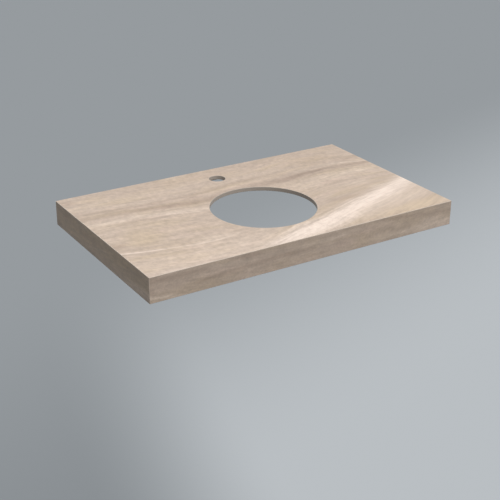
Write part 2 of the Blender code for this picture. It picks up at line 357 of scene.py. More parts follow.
def layers(add, place, run, pitch, detail=2):
    """Noise in level layers, about a pitch high and drawn out over a run, both in mm."""
    pressed = add("VectorMath", (place, (1 / run, 1 / run, 1 / pitch)), operation="MULTIPLY")
    return add("TexNoise", {"Vector": pressed, "Scale": 1.0, "Detail": detail})


def toned(add, colour, tone, pattern, between, strength=1.0):
    """Pulls a colour towards a tone, the more the higher a pattern is between two values."""
    return add("Mix", (add("MapRange", (pattern, *between, 0, strength)), colour, tone))


def dress(made, colour, pattern, roughness, surface, relief, between=MIDDLE, **constants):
    """Links a finish's colour, its roughness that follows a pattern, and its relief to the shader.

    What is the same all over, such as the index of refraction, is set on the shader itself."""
    add = partial(node, made.node_tree)
    shader = made.node_tree.nodes["Principled BSDF"]
    bump = add("Bump", {"Height": surface, "Distance": relief, "Strength": 1.0})
    rough = add("MapRange", (pattern, *between, *roughness))
    for name, value in (("Base Color", colour), ("Roughness", rough), ("Normal", bump)):
        made.node_tree.links.new(value, shader.inputs[name])
    for name, value in constants.items():
        shader.inputs[name].default_value = value
    return made


# %% [markdown]
# ## Porcelain stoneware: how its face is drawn
#
# The slab is pressed and fired clay. Its face is printed with a beige travertine, glazed thinly and
# honed to a soft satin. An image of stone would be the quick way, but it repeats, and it fits no
# other size. Here the stone is drawn with nodes, in millimetres from the left and the back edge of
# the board:
#
# - beds: streaks that are long and thin, laid along curves that bend as the real beds do;
# - veins: each follows a curve of its own, with a strength along it and a soft edge on each side;
# - patches: soft ovals where the stone is warmer or greyer;
# - grain: the mottle of crystals. Real crystals are about a millimetre wide. Drawn so fine they
#   would not show, so they are 10 to 12 mm on the top and 4 to 6 mm on the aprons.

# %% Tones, curves and ovals
BASE, TAN, PINK = linear("#D1BDAC"), linear("#D0BBA2"), linear("#DCC4B5")
UMBER, CREAM, PALE, SAND = linear("#A38D7D"), linear("#FFECDD"), linear("#EEDAC8"), linear("#E0CAB0")
OVAL_CORE = 0.2


def curve_of(add, x, points, span_x, span_y):
    """A smooth curve through points in mm, as a function of x."""
    made = add("FloatCurve", {"Value": add("Math", (x, span_x), operation="DIVIDE")}).node
    curve = made.mapping.curves[0]
    places = [(px / span_x, 0.5 + py / span_y) for px, py in points]
    while len(curve.points) < len(places):
        curve.points.new(0.5, 0.5)
    for point, at in zip(curve.points, places):
        point.location = at
        point.handle_type = "AUTO"
    made.mapping.extend = "HORIZONTAL"
    made.mapping.update()
    return add("Math", (made.outputs[0], span_y, -span_y / 2), operation="MULTIPLY_ADD")


def oval(add, place, middle, half_long, half_wide):
    """1 at the middle of an oval patch, fading to 0 at its edge."""
    away = add("VectorMath", (place, (*middle, 0)), operation="SUBTRACT")
    away = add("VectorMath", (away, (1 / half_long, 1 / half_wide, 0)), operation="MULTIPLY")
    return add("MapRange", (add("VectorMath", (away,), operation="LENGTH"), 1.0, OVAL_CORE))


def product(add, first, *others):
    """Several strengths, all multiplied together."""
    for other in others:
        first = add("Math", (first, other), operation="MULTIPLY")
    return first


# %% [markdown]
# ### The layout of each board
#
# A vein is a tone, its soft edge towards the back and towards the front in mm, and its points:
# mm from the left, mm from the back, and strength. A patch is a tone, a middle, half its length and
# half its width in mm, and a strength. On an apron, "back" is its upper edge. The beds are the
# curves that the streaks follow, one near the back edge and one near the front. The grain is its
# length and width in mm, and how much the fine streaks lighten and darken it. A calm area is an
# oval in which the mottle is weaker, by a strength.

# %% Lay out the top
TOP_PRINT = {
    "beds_back": [
        (0, 0), (100, 6), (190, 18), (275, 28), (400, 20), (510, 14), (600, -6), (700, -12), (800, 8),
    ],
    "beds_front": [
        (0, 0), (100, 22), (225, 36), (320, 30), (400, 3), (510, -30), (600, -62), (700, -92), (800, -135),
    ],
    "veins": [
        (UMBER, 30, 17, [
            (0, 144, .3), (60, 146, .32), (110, 149, .34), (160, 158, .47), (210, 168, .52),
            (300, 178, .5), (380, 160, .25),
        ]),
        (UMBER, 13, 13, [
            (0, 112, .15), (60, 119, .25), (110, 126, .32), (160, 131, .34), (220, 134, .34),
            (300, 130, .25), (380, 120, .25), (470, 112, .25), (540, 110, .12), (600, 112, .0),
        ]),
        (UMBER, 34, 24, [
            (410, 144, .0), (460, 154, .2), (520, 162, .3), (570, 162, .3), (620, 158, .1), (680, 160, .0),
        ]),
        (UMBER, 12, 12, [
            (520, 158, .0), (560, 154, .3), (600, 148, .7), (650, 146, .6), (700, 145, .3),
            (750, 154, .4), (800, 164, .4),
        ]),
        (PALE, 17, 16, [
            (0, 180, .4), (60, 186, .55), (110, 184, .55), (160, 194, .42), (210, 206, .52),
            (250, 213, .6), (295, 228, .0),
        ]),
        (PALE, 30, 26, [(480, 222, .0), (560, 211, .2), (660, 200, .35), (710, 196, .45), (800, 204, .3)]),
        (CREAM, 4, 4, [(180, 208, .0), (205, 213, .45), (225, 222, .3), (245, 226, .4), (270, 234, .0)]),
        (CREAM, 5, 4, [(690, 124, .0), (720, 129, .3), (760, 140, .4), (800, 150, .45)]),
        (UMBER, 8, 7, [(40, 214, .0), (90, 208, .22), (130, 209, .3), (160, 214, .2), (200, 224, .0)]),
        (CREAM, 5, 6, [
            (0, 350, .5), (60, 366, .55), (110, 376, .3), (160, 386, .4), (215, 390, .25),
            (260, 384, .15), (300, 378, .0),
        ]),
        (PALE, 60, 60, [(0, 430, .3), (120, 432, .3), (260, 434, .38), (330, 430, .35), (420, 410, .0)]),
        (CREAM, 42, 68, [
            (270, 484, .2), (320, 474, .68), (360, 462, .9), (410, 443, 1.0), (460, 432, 1.0),
            (510, 413, 1.0), (560, 396, 1.0), (610, 378, 1.05), (660, 361, 1.0), (710, 344, .95),
            (760, 325, .9), (800, 306, .95),
        ]),
        (CREAM, 30, 32, [
            (330, 476, .0), (400, 456, .55), (460, 444, .55), (520, 430, .62), (570, 416, .2),
            (620, 402, .0),
        ]),
        (PALE, 50, 40, [
            (430, 472, .0), (500, 454, .2), (560, 440, .25), (620, 424, .3), (700, 408, .55),
            (760, 398, .5), (800, 384, .35),
        ]),
        (PALE, 26, 26, [(0, 76, .1), (110, 74, .1), (300, 74, .05), (600, 76, .0), (800, 80, .0)]),
    ],
    "patches": [
        (UMBER, (600, 334), 90, 18, 0.3),
        (UMBER, (685, 332), 50, 12, 0.45),
        # This long patch makes the top darker all along its back edge.
        (UMBER, (400, 14), 760, 60, 0.15),
        (UMBER, (6, 30), 50, 26, 0.35),
        (UMBER, (2, 312), 46, 22, 0.45),
        (UMBER, (680, 84), 110, 56, 0.2),
        (UMBER, (770, 112), 60, 22, 0.3),
        (UMBER, (560, 130), 44, 14, 0.25),
        (UMBER, (635, 232), 54, 16, 0.3),
        (UMBER, (460, 474), 44, 14, 0.3),
        (UMBER, (680, 476), 190, 22, 0.35),
        (UMBER, (10, 476), 34, 14, 0.35),
        (UMBER, (160, 474), 50, 12, 0.35),
        (UMBER, (2, 110), 34, 50, 0.25),
        (UMBER, (285, 150), 46, 14, 0.35),
        (PALE, (310, 8), 44, 14, 0.3),
        (PALE, (610, 452), 50, 12, 0.45),
        (PALE, (430, 456), 60, 12, 0.45),
        (PALE, (712, 374), 44, 14, 0.5),
        (PALE, (685, 270), 60, 16, 0.4),
        (PALE, (715, 308), 44, 12, 0.6),
        (PALE, (212, 378), 64, 24, 0.5),
        (TAN, (80, 292), 60, 78, 0.8),
        (SAND, (680, 462), 200, 50, 0.8),
        (TAN, (70, 40), 60, 30, 0.6),
        (PINK, (210, 168), 60, 14, 0.5),
        (PINK, (560, 160), 60, 16, 0.4),
    ],
    "grain": (10, 12, 0.045),
    "calm": [((720, 370), 320, 170, 0.7)],
}
print("veins on the top:", len(TOP_PRINT["veins"]))

# %% Lay out the aprons
APRON_GRAIN = {"grain": (6, 4, 0.075), "calm": []}
FRONT_PRINT = {
    "beds_back": [(0, 0), (200, 5), (400, 12), (600, 6), (800, 0)],
    "beds_front": [(0, 0), (200, 8), (400, 10), (600, 14), (800, 4)],
    "veins": [
        (UMBER, 10, 12, [(0, 10, .35), (60, 12, .35), (110, 12, .3), (140, 18, .1), (170, 24, .0)]),
        (UMBER, 8, 9, [
            (100, 38, .0), (140, 35, .35), (200, 33, .35), (260, 30, .25), (300, 28, .35),
            (370, 28, .25), (420, 30, .0),
        ]),
        (UMBER, 7, 8, [(580, 6, .0), (640, 8, .4), (680, 12, .3), (740, 18, .25), (800, 20, .2)]),
        (PALE, 7, 7, [(130, 10, .0), (180, 14, .2), (260, 18, .0)]),
        (PALE, 8, 7, [(350, 20, .0), (410, 18, .35), (460, 18, .5), (500, 14, .2), (540, 12, .0)]),
        (PALE, 7, 9, [(0, 46, .75), (40, 52, .6), (85, 60, .0)]),
        (PALE, 12, 16, [
            (540, 50, .0), (580, 48, .3), (620, 46, .4), (680, 46, .35), (740, 48, .5), (800, 44, .5),
        ]),
    ],
    "patches": [
        (PINK, (485, 36), 45, 12, 0.35),
        (TAN, (610, 48), 70, 12, 0.5),
        (UMBER, (235, 8), 54, 9, 0.4),
        (UMBER, (4, 40), 14, 30, 0.25),
        (PALE, (715, 55), 44, 9, 0.5),
        (PALE, (745, 44), 100, 26, 0.4),
    ],
    **APRON_GRAIN,
}
LEFT_PRINT = {
    "beds_back": [(0, 8), (160, 0), (320, -8), (480, -14)],
    "beds_front": [(0, 12), (160, 0), (320, -10), (480, -18)],
    "veins": [
        (UMBER, 12, 14, [
            (90, 30, .0), (160, 24, .3), (210, 22, .25), (250, 20, .1), (330, 16, .15), (400, 14, .1),
        ]),
        (PALE, 3, 4, [(130, 56, .0), (180, 46, .15), (230, 34, .25), (270, 24, .25), (310, 16, .0)]),
        (PALE, 14, 18, [(290, 54, .0), (350, 49, .25), (410, 46, .5), (480, 44, .5)]),
    ],
    "patches": [
        (TAN, (240, 8), 480, 60, 1.0),
        (UMBER, (110, 12), 80, 14, 0.2),
        (UMBER, (48, 14), 70, 26, 0.35),
        (UMBER, (4, 56), 36, 26, 0.5),
        (UMBER, (180, 58), 150, 9, 0.3),
        (TAN, (36, 36), 20, 24, 0.5),
    ],
    **APRON_GRAIN,
}
RIGHT_PRINT = {
    "beds_back": [(0, -4), (160, 4), (320, 2), (480, -6)],
    "beds_front": [(0, -8), (160, 2), (320, 6), (480, 0)],
    "veins": [
        (UMBER, 14, 12, [(0, 22, .3), (110, 26, .35), (240, 20, .15), (300, 16, .0)]),
        (PALE, 8, 14, [(120, 58, .0), (200, 46, .3), (320, 40, .4), (400, 42, .2), (480, 50, .1)]),
        (CREAM, 2, 3, [(250, 24, .0), (310, 28, .3), (370, 26, .25), (440, 30, .0)]),
    ],
    "patches": [(TAN, (420, 20), 60, 20, 0.6), (PINK, (190, 30), 60, 16, 0.4)],
    **APRON_GRAIN,
}
print("veins on the aprons:", sum(len(p["veins"]) for p in (FRONT_PRINT, LEFT_PRINT, RIGHT_PRINT)))

# %% [markdown]
# ### From layout to material
#
# The beds come first: a curve near the back edge and one near the front, blended across the board,
# are taken away from the distance across it. Streaks drawn in that bent frame run along the beds.
# Then each patch and each vein pulls the colour towards its own tone. Streaks break up every vein
# and patch a little, as ink on a real print is never even. Last, the streaks and the mottle make the
# whole lighter and darker by a few hundredths.
#
# Honed porcelain is a satin surface: index of refraction 1.52, roughness near 0.46, and a relief of
# a few hundredths of a millimetre that only softens the reflections.

# %% Beds and speckles
BED_BLEND_SHARES = (0.45, 0.8)
SPECKLE_SWING = 0.08
CURVE_ROOM = 4


def bent_place(add, place, layout, span_x, span_y):
    """Two parts of a place, and the place again with the second measured from the beds' curves."""
    x, y, z = add("SeparateXYZ", (place,)).node.outputs
    lines = layout["beds_back"], layout["beds_front"]
    bends = [curve_of(add, x, points, span_x, CURVE_ROOM * span_y) for points in lines]
    across = add("MapRange", (y, *(share * span_y for share in BED_BLEND_SHARES)))
    bend = add("Mix", (across, *bends), data_type="FLOAT")
    return x, y, add("CombineXYZ", (x, add("Math", (y, bend), operation="SUBTRACT"), z))


def speckles(add, place, mottle, grain, calm_areas):
    """How much lighter or darker than 1 the mottle and the grain make the stone."""
    swing = (*WIDE, -SPECKLE_SWING, SPECKLE_SWING)
    parts = [add("MapRange", (pattern, *swing)) for pattern in (mottle, grain)]
    speckle = add("Math", parts, operation="ADD")
    for middle, half_long, half_wide, strength in calm_areas:
        area = oval(add, place, middle, half_long, half_wide)
        speckle = product(add, speckle, add("MapRange", (area, 0, 1, 1, 1 - strength)))
    return add("Math", (speckle, 1.0), operation="ADD")


# %% Honed, printed face
FACE_ROUGHNESS, FACE_IOR = (0.41, 0.51), 1.52
RELIEF = 0.03 * MM
STREAK_SIZES = {
    "clouds": (190, 42, 3, 0),
    "bands": (240, 22, 4, 19),
    "long": (95, 12, 4, 3),
    "fine": (38, 6.5, 3, 7),
    "mottle": (22, 15, 4, 15),
}
GRAIN_DETAIL, GRAIN_SEED = 3, 11
TAN_CLOUDS, PINK_BANDS = ((0.4, 0.7), 0.7), ((0.5, 0.75), 0.5)
BROKEN_PATCH, BROKEN_VEIN = (0.3, 0.6, 0.5, 1), (*MIDDLE, 0.8, 1.2)
VEIN_SWAY_SHARE = 0.8
BAND_SWING, LONG_SWING = 0.04, 0.055


def printed_face(name, board_length, board_depth, layout, seed):
    """Porcelain stoneware, printed and honed: satin, with the beds of travertine."""
    made, add, place = new_finish(name)
    span_x, span_y = board_length / MM, board_depth / MM
    corner = (span_x / 2, span_y / 2, 0)
    place = add("VectorMath", (place, (1, -1, 1), corner), operation="MULTIPLY_ADD")
    x, y, beds = bent_place(add, place, layout, span_x, span_y)
    drawn = {
        part: streaks(add, beds, long, wide, detail, seed + own)
        for part, (long, wide, detail, own) in STREAK_SIZES.items()
    }
    grain_long, grain_wide, fine_swing = layout["grain"]
    grain = streaks(add, beds, grain_long, grain_wide, GRAIN_DETAIL, seed + GRAIN_SEED)

    colour = toned(add, BASE, TAN, drawn["clouds"], *TAN_CLOUDS)
    colour = toned(add, colour, PINK, drawn["bands"], *PINK_BANDS)
    broken = add("MapRange", (drawn["long"], *BROKEN_PATCH))
    for tone, middle, half_long, half_wide, strength in layout["patches"]:
        mask = product(add, oval(add, place, middle, half_long, half_wide), broken, strength)
        colour = add("Mix", (mask, colour, tone))

    broken = add("MapRange", (drawn["fine"], *BROKEN_VEIN))
    wobble = add("Math", (drawn["long"], 0.5), operation="SUBTRACT")
    for tone, soft_back, soft_front, points in layout["veins"]:
        middle = curve_of(add, x, [(px, py) for px, py, _ in points], span_x, CURVE_ROOM * span_y)
        strength = curve_of(add, x, [(px, s) for px, _, s in points], span_x, CURVE_ROOM)
        across = add("Math", (y, middle), operation="SUBTRACT")
        sway = VEIN_SWAY_SHARE * min(soft_back, soft_front)
        across = add("Math", (wobble, sway, across), operation="MULTIPLY_ADD")
        edges = [add("MapRange", (across, soft, 0)) for soft in (-soft_back, soft_front)]
        colour = add("Mix", (product(add, *edges, broken, strength), colour, tone))

    light = speckles(add, place, drawn["mottle"], grain, layout["calm"])
    swings = {"bands": (MIDDLE, BAND_SWING), "long": (WIDE, LONG_SWING), "fine": (WIDE, fine_swing)}
    for part, (between, swing) in swings.items():
        light = product(add, light, add("MapRange", (drawn[part], *between, 1 - swing, 1 + swing)))
    colour = add("VectorMath", (colour, light), operation="SCALE")
    return dress(made, colour, drawn["fine"], FACE_ROUGHNESS, grain, RELIEF, between=FULL, IOR=FACE_IOR)


# %% [markdown]
# ### Cut edges, hole walls, the back and sawn strips
#
# A through-body stoneware has much the same colour inside as on its face, only plainer: fired clay and
# feldspar with fine specks. The shop's saw leaves shallow lines along a cut, which honing only partly
# removes. The water jet that cuts the holes leaves a wall that is more matt, and the wall's greyer tone is
# painted shade for the inside of the hole. The back of a slab keeps the weave of the belt that it was
# pressed on. The specks and the saw's lines are finer than this on the real slab, and are drawn 1.8 and
# 1.6 mm wide to show.

# %% Honed edge, cut wall, sawn face and pressed back
CLAY, CLAY_DARK, CLAY_PALE = linear("#CAB9AA"), linear("#B9A798"), linear("#DACCBE")
ARRIS_PAINTED_HIGHLIGHT, HOLE_SHADE_GREY = linear("#EADBCD"), linear("#C2B7AC")
CLAY_MOTTLE = {"long": 14, "wide": 9, "detail": 4, "seed": 2}
CLAY_SPECK = {"long": 1.8, "wide": 1.8, "detail": 2, "seed": 5}
PALE_SPECKS = ((0.55, 0.75), 0.5)
CLAY_PLAY = 0.06
SAW_PITCH, SAW_RUN, SAW_STRENGTH = 1.6, 50, 1.5
BELT_PITCH, BELT_TURN, BELT_RELIEF = 6.0, math.radians(45), 0.15 * MM


def specks_alone(add, place, speck):
    """The relief of a honed surface."""
    return speck


def saw_lines(add, place, speck):
    """The relief of a cut: the saw's shallow lines, with the specks between them."""
    lines = layers(add, place, SAW_RUN, SAW_PITCH)
    return add("Math", (lines, SAW_STRENGTH, speck), operation="MULTIPLY_ADD")


def belt_weave(add, place, speck):
    """The relief of the back: the press belt's shallow diamonds."""
    turned = add("VectorRotate", {"Vector": place, "Angle": BELT_TURN})
    waves = add("VectorMath", (turned, math.pi / BELT_PITCH), operation="SCALE")
    swing = add("SeparateXYZ", (add("VectorMath", (waves,), operation="SINE"),)).node.outputs
    return product(add, swing["X"], swing["Y"])


def through_body(name, surface_of, roughness, relief=RELIEF, over=(CLAY, 0.0)):
    """Porcelain stoneware under its print: matt fired clay with specks, perhaps with a tone over it."""
    made, add, place = new_finish(name)
    speck = streaks(add, place, **CLAY_SPECK)
    colour = toned(add, CLAY_DARK, CLAY, streaks(add, place, **CLAY_MOTTLE), MIDDLE)
    colour = toned(add, colour, CLAY_PALE, speck, *PALE_SPECKS)
    tone, strength = over
    colour = add("Mix", (strength, colour, tone))
    rough = (roughness - CLAY_PLAY, roughness + CLAY_PLAY)
    return dress(made, colour, speck, rough, surface_of(add, place, speck), relief)


HONED_EDGE = through_body("stoneware_honed_edge", saw_lines, roughness=0.45)
# The eased arris's pale tone is a painted highlight along the edges.
EASED_ARRIS_PAINTED_HIGHLIGHT = through_body("stoneware_eased_arris_painted_highlight", specks_alone, roughness=0.40, over=(ARRIS_PAINTED_HIGHLIGHT, 0.75))
# The hole wall's grey tone is painted shade for the inside of the hole.
HOLE_WALL_PAINTED_SHADE = through_body("stoneware_hole_wall_painted_shade", saw_lines, roughness=0.55, over=(HOLE_SHADE_GREY, 0.8))
SAWN_STRIP = through_body("stoneware_sawn_strip", saw_lines, roughness=0.62)
PRESSED_BACK = through_body("stoneware_pressed_back", belt_weave, roughness=0.75, relief=BELT_RELIEF)

# %% [markdown]
# ## The four boards
#
# The top and its three aprons are one kind of thing: a board of slab with some edges mitred and the
# others left square. A stack of Bevel modifiers could round their edges, but a bevel can't follow a
# mitre that stops halfway round a corner. So each board is sawn from a block, plane by plane. A
# round edge is a run of planes that touch the same small circle, and only the half that belongs to
# the board is cut, because the other half is on its neighbour.
#
# Each board is modelled lying face up, with its face on Z zero. Its material can then measure
# along it and across it, whichever way the board is turned later.

# %% Saw and round
ARRIS_CUTS = 5
SNAP = 0.001 * MM
FRONT, BACK, LEFT, RIGHT = (0, -1, 0), (0, 1, 0), (-1, 0, 0), (1, 0, 0)
DOWN, UP = (0, 0, -1), (0, 0, 1)


def saw(shape, point, outward):
    """Saws off what lies outward of a plane through the point, and caps the cut.

    A corner closer to the plane than the snap counts as on it, so that no sliver is left."""
    cut = bmesh.ops.bisect_plane(
        shape,
        geom=shape.verts[:] + shape.edges[:] + shape.faces[:],
        dist=SNAP,
        plane_co=Vector(point),
        plane_no=Vector(outward).normalized(),
        clear_outer=True,
    )
    rim = [edge for edge in cut["geom_cut"] if isinstance(edge, bmesh.types.BMEdge)]
    if rim:
        bmesh.ops.contextual_create(shape, geom=rim)


def round_off(shape, corner, first, second, share):
    """Rounds the edge between two faces. The share is how much of its quarter circle is cut."""
    middle = corner - (first + second) * ARRIS_RADIUS
    cuts = ARRIS_CUTS if share < 1 else ARRIS_CUTS - 1
    for step in range(1, cuts + 1):
        turn = share * math.pi / 2 * step / ARRIS_CUTS
        touch = first * math.cos(turn) + second * math.sin(turn)
        saw(shape, middle + touch * ARRIS_RADIUS, touch)


# %% Cut a board
def board(board_length, board_depth, mitred):
    """A board that lies face up on Z zero. The mitred sides are named by their outward direction."""
    shape = bmesh.new()
    bmesh.ops.create_cube(shape, size=1)
    bmesh.ops.scale(shape, vec=(board_length, board_depth, thickness), verts=shape.verts)
    bmesh.ops.translate(shape, vec=(0, 0, -thickness / 2), verts=shape.verts)
    face, foot = Vector(UP), Vector(DOWN)
    gap = (SEAM_WIDTH + SEAM_PLAY) / 2
    for side in (FRONT, BACK, LEFT, RIGHT):
        out = Vector(side)
        edge = Vector((board_length * out.x, board_depth * out.y, 0)) / 2
        if side in mitred:
            mitre = (out - face).normalized()
            saw(shape, edge - mitre * gap, mitre)
            round_off(shape, edge, face, out, share=0.5)
        else:
            round_off(shape, edge, face, out, share=1)
            round_off(shape, edge + foot * thickness, foot, out, share=1)
    return shape


# %% [markdown]
# A round hole is cut with a Boolean. The cutter is a turned shape that flares at both ends, so the
# cut leaves the rims rounded. Its flare is a run of tangents to the arris circle, like the saw cuts.

# %% Cut the holes
BASIN_FACETS, TAP_FACETS = 192, 72


def hole_cutter(radius, facets):
    """Cuts a hole from the face to the back of a board, with both rims rounded."""
    steps = ARRIS_CUTS + 1
    turns = [math.pi / 2 * i / steps for i in range(1, steps + 1)]
    rim = []
    for a, b in zip(turns, turns[1:]):
        middle, half = (a + b) / 2, (b - a) / 2
        reach = ARRIS_RADIUS / math.cos(half)
        out, rise = reach * math.sin(middle), reach * math.cos(middle)
        rim.append((radius + ARRIS_RADIUS - out, rise - ARRIS_RADIUS))
    upper = [(rim[0][0] + OVERRUN / math.tan(turns[0]), rim[0][1] + OVERRUN)] + rim
    lower = [(r, -thickness - z) for r, z in reversed(upper)]
    shape = bmesh.new()
    around = full_turn(facets)
    skin(shape, [[(r * math.cos(t), r * math.sin(t), z) for t in around] for r, z in upper + lower])
    return shape


def drill(piece, middle, radius, facets):
    """Cuts a rounded hole in a board, and applies the cut."""
    cutter = as_object("cutter", hole_cutter(radius, facets))
    cutter.location = middle
    cut = piece.modifiers.new("hole", "BOOLEAN")
    cut.object, cut.operation = cutter, "DIFFERENCE"
    bpy.context.view_layer.update()
    evaluated = piece.evaluated_get(bpy.context.evaluated_depsgraph_get())
    finished = bpy.data.meshes.new_from_object(evaluated)
    piece.modifiers.clear()
    piece.data = finished
    bpy.data.objects.remove(cutter)


# %% [markdown]
# The board's faces take five finishes by the way they lie: the printed face on top, the eased arris round
# it, the honed edge, the pressed back below, and the cut wall of a hole, which is any upright face well
# inside the edges. Easing takes the print off, so the arris is clay, with a pale tone over it that is a
# painted highlight along the edge. Round stretches are shaded smooth, and a Weighted Normal modifier keeps
# the large faces flat up to their rims.

# %% Finish a board
SHARP_ANGLE = math.radians(24)
FLAT_WEIGHT = 100
FLAT, TILTED = 0.999, 0.01
EDGE_ZONE = 2 * thickness
PRINTED, ARRIS, EDGE, PRESSED, WALL = range(5)


def shade_round(piece):
    """Smooth shading that keeps flat faces flat and real edges sharp."""
    piece.data.shade_smooth()
    piece.data.set_sharp_from_angle(angle=SHARP_ANGLE)
    weighted = piece.modifiers.new("flat_faces", "WEIGHTED_NORMAL")
    weighted.keep_sharp = True
    weighted.weight = FLAT_WEIGHT


def assign_board_finishes(piece, face, half_x=0, half_y=0):
    """Gives each face its finish. A board with holes says half its length and half its depth."""
    piece.data.materials.clear()
    for material in (face, EASED_ARRIS_PAINTED_HIGHLIGHT, HONED_EDGE, PRESSED_BACK, HOLE_WALL_PAINTED_SHADE):
        piece.data.materials.append(material)
    for polygon in piece.data.polygons:
        middle, lift = polygon.center, polygon.normal.z
        if lift > FLAT:
            polygon.material_index = PRINTED
        elif lift < -FLAT:
            polygon.material_index = PRESSED
        elif abs(middle.x) < half_x - EDGE_ZONE and abs(middle.y) < half_y - EDGE_ZONE:
            polygon.material_index = WALL
        elif middle.z > -ARRIS_RADIUS and lift > TILTED:
            polygon.material_index = ARRIS
        else:
            polygon.material_index = EDGE


def finish_piece(piece, slot, *nodes):
    """Rides a piece on the body, in place of its CAD nodes if it has any. The slot is not used."""
    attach(piece, BODY)
    if nodes:
        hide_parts(*nodes)
    print(f"{piece.name}: {len(piece.data.polygons)} faces for {', '.join(nodes) or 'looks only'}")


# %% Make the top and the aprons
slab = as_object("stone_top", board(length, depth, {FRONT, LEFT, RIGHT}))
drill(slab, *basin, BASIN_FACETS)
drill(slab, *tap, TAP_FACETS)
top_face = printed_face("stoneware_printed_top", length, depth, TOP_PRINT, seed=20)
assign_board_finishes(slab, top_face, length / 2, depth / 2)
shade_round(slab)
slab.location.z = height
finish_piece(slab, "stoneware_face", "top_slab")

for side, run, mitred, at, turn, layout, seed in (
    ("front", length, {BACK, LEFT, RIGHT}, (0, -depth / 2, height / 2), 0.0, FRONT_PRINT, 31),
    ("left", depth, {BACK, RIGHT}, (-length / 2, 0, height / 2), -math.pi / 2, LEFT_PRINT, 47),
    ("right", depth, {BACK, LEFT}, (length / 2, 0, height / 2), math.pi / 2, RIGHT_PRINT, 59),
):
    apron = as_object(f"stone_{side}_apron", board(run, height, mitred))
    assign_board_finishes(apron, printed_face(f"stoneware_printed_{side}", run, height, layout, seed))
    shade_round(apron)
    apron.rotation_euler = (math.pi / 2, 0, turn)
    apron.location = at
    finish_piece(apron, "stoneware_face", f"{side}_apron")

# %% [markdown]
# ## Epoxy in the mitres
#
# The glue is a filled epoxy, tinted to the stone. It fills the mitre as a sheet and shows as a hair
# line on the corner. Inside, the fitter draws a finger along the corner, which leaves a hollow
# fillet that is never quite even. So each seam is lofted from many sections along its length, and
# slow noise moves the fillet in and out by a third of a millimetre.

# %% Cast epoxy
EPOXY_DARK, EPOXY_PALE = linear("#C3AF9C"), linear("#CDBBA9")
EPOXY_ROUGHNESS, EPOXY_IOR = (0.28, 0.42), 1.55
EPOXY_RELIEF = 0.05 * MM


def cast_epoxy():
    """Epoxy tinted to the stone, wiped and cured: smooth, a little glossy, slightly cloudy."""
    made, add, place = new_finish("cast_epoxy")
    cloud = streaks(add, place, long=12, wide=12, detail=3, seed=4)
    ripple = streaks(add, place, long=3, wide=3, detail=2, seed=9)
    colour = toned(add, EPOXY_DARK, EPOXY_PALE, cloud, NARROW)
    return dress(made, colour, ripple, EPOXY_ROUGHNESS, ripple, EPOXY_RELIEF, IOR=EPOXY_IOR)


EPOXY = cast_epoxy()

# %% Section of a seam
BEAD_LEG = 7.4 * MM
BEAD_HOLLOW = 1.3 * MM
BEAD_POINTS = 8
BEAD_WANDER = 0.35 * MM
BEAD_WAVE = 30 * MM


def arch(share):
    """0 at both ends of a stretch and 1 in its middle."""
    return 4 * share * (1 - share)


def seam_section(station, seed):
    """(inset, drop) pairs of a seam's section: a sheet in the mitre and a hollow fillet inside."""
    sheet = SEAM_WIDTH / math.sqrt(2) / 2
    outside = ARRIS_RADIUS * (1 - math.sqrt(0.5))
    inside = thickness + SEAM_PLAY
    section = [(outside + sheet, outside - sheet), (inside + 2 * sheet, inside)]
    for i in range(BEAD_POINTS + 1):
        share = i / BEAD_POINTS
        wander = BEAD_WANDER * noise.noise(Vector((station / BEAD_WAVE, share * 2, seed)))
        hollow = (BEAD_HOLLOW + wander) * arch(share) / math.sqrt(2)
        section.append((inside + BEAD_LEG * (1 - share) - hollow, inside + BEAD_LEG * share - hollow))
    return section + [(inside, inside + 2 * sheet), (outside - sheet, outside + sheet)]


# %% Loft the seams
SECTION_STEP = 8 * MM
SEAM_JOIN = 0.1 * MM


def loft(start, first, second, along, run, section_at, step):
    """A closed solid through sections of (first, second) distances, spaced along a third axis."""
    start, first, second, along = Vector(start), Vector(first), Vector(second), Vector(along)
    shape = bmesh.new()
    count = max(2, round(run / step))
    stations = [run * k / count for k in range(count + 1)]
    skin(shape, [
        [start + along * station + first * a + second * b for a, b in section_at(station)]
        for station in stations
    ])
    return shape


def glue_piece(name, shape, *nodes):
    """A piece of cured epoxy, with smooth shading."""
    piece = as_object(name, shape, [EPOXY])
    shade_round(piece)
    finish_piece(piece, "epoxy", *nodes)


# %% [markdown]
# Three seams meet at each front corner. Each is sawn off there along two planes that its neighbours
# are sawn along too, so that they meet without running into each other.

# %% Make the seams
left_x, right_x, front_y, back_y = -length / 2, length / 2, -depth / 2, depth / 2
front_left, front_right = (left_x, front_y, height), (right_x, front_y, height)
seams = (
    ("front_mitre_seam", front_left, BACK, DOWN, RIGHT, length, [
        (front_left, (-1, 1, 0)), (front_left, (-1, 0, -1)),
        (front_right, (1, 1, 0)), (front_right, (1, 0, -1)),
    ]),
    ("left_mitre_seam", front_left, RIGHT, DOWN, BACK, depth, [
        (front_left, (1, -1, 0)), (front_left, (0, -1, -1)),
    ]),
    ("right_mitre_seam", front_right, LEFT, DOWN, BACK, depth, [
        (front_right, (-1, -1, 0)), (front_right, (0, -1, -1)),
    ]),
    ("left_corner_seam", (left_x, front_y, 0), RIGHT, BACK, UP, height, [
        (front_left, (1, 0, 1)), (front_left, (0, 1, 1)),
    ]),
    ("right_corner_seam", (right_x, front_y, 0), LEFT, BACK, UP, height, [
        (front_right, (-1, 0, 1)), (front_right, (0, 1, 1)),
    ]),
)
for seed, (name, start, first, second, along, run, cuts) in enumerate(seams, start=1):
    shape = loft(start, first, second, along, run, partial(seam_section, seed=seed), SECTION_STEP)
    for point, outward in cuts:
        outward = Vector(outward).normalized()
        saw(shape, Vector(point) - outward * SEAM_JOIN, outward)
    glue_piece("epoxy_" + name, shape, name)

# %% [markdown]
# ## Glass-fibre nets
#
# A slab this thin carries a net on its back, so that it holds together if it cracks. It is a laid
# scrim: threads across, threads along on top of them, 5 mm apart, bedded in a clear resin film.
# A texture could draw the net, but from below its threads catch the light, so they are real: each
# thread is a flat closed bar with a slightly narrower top, cut short where it meets a hole.

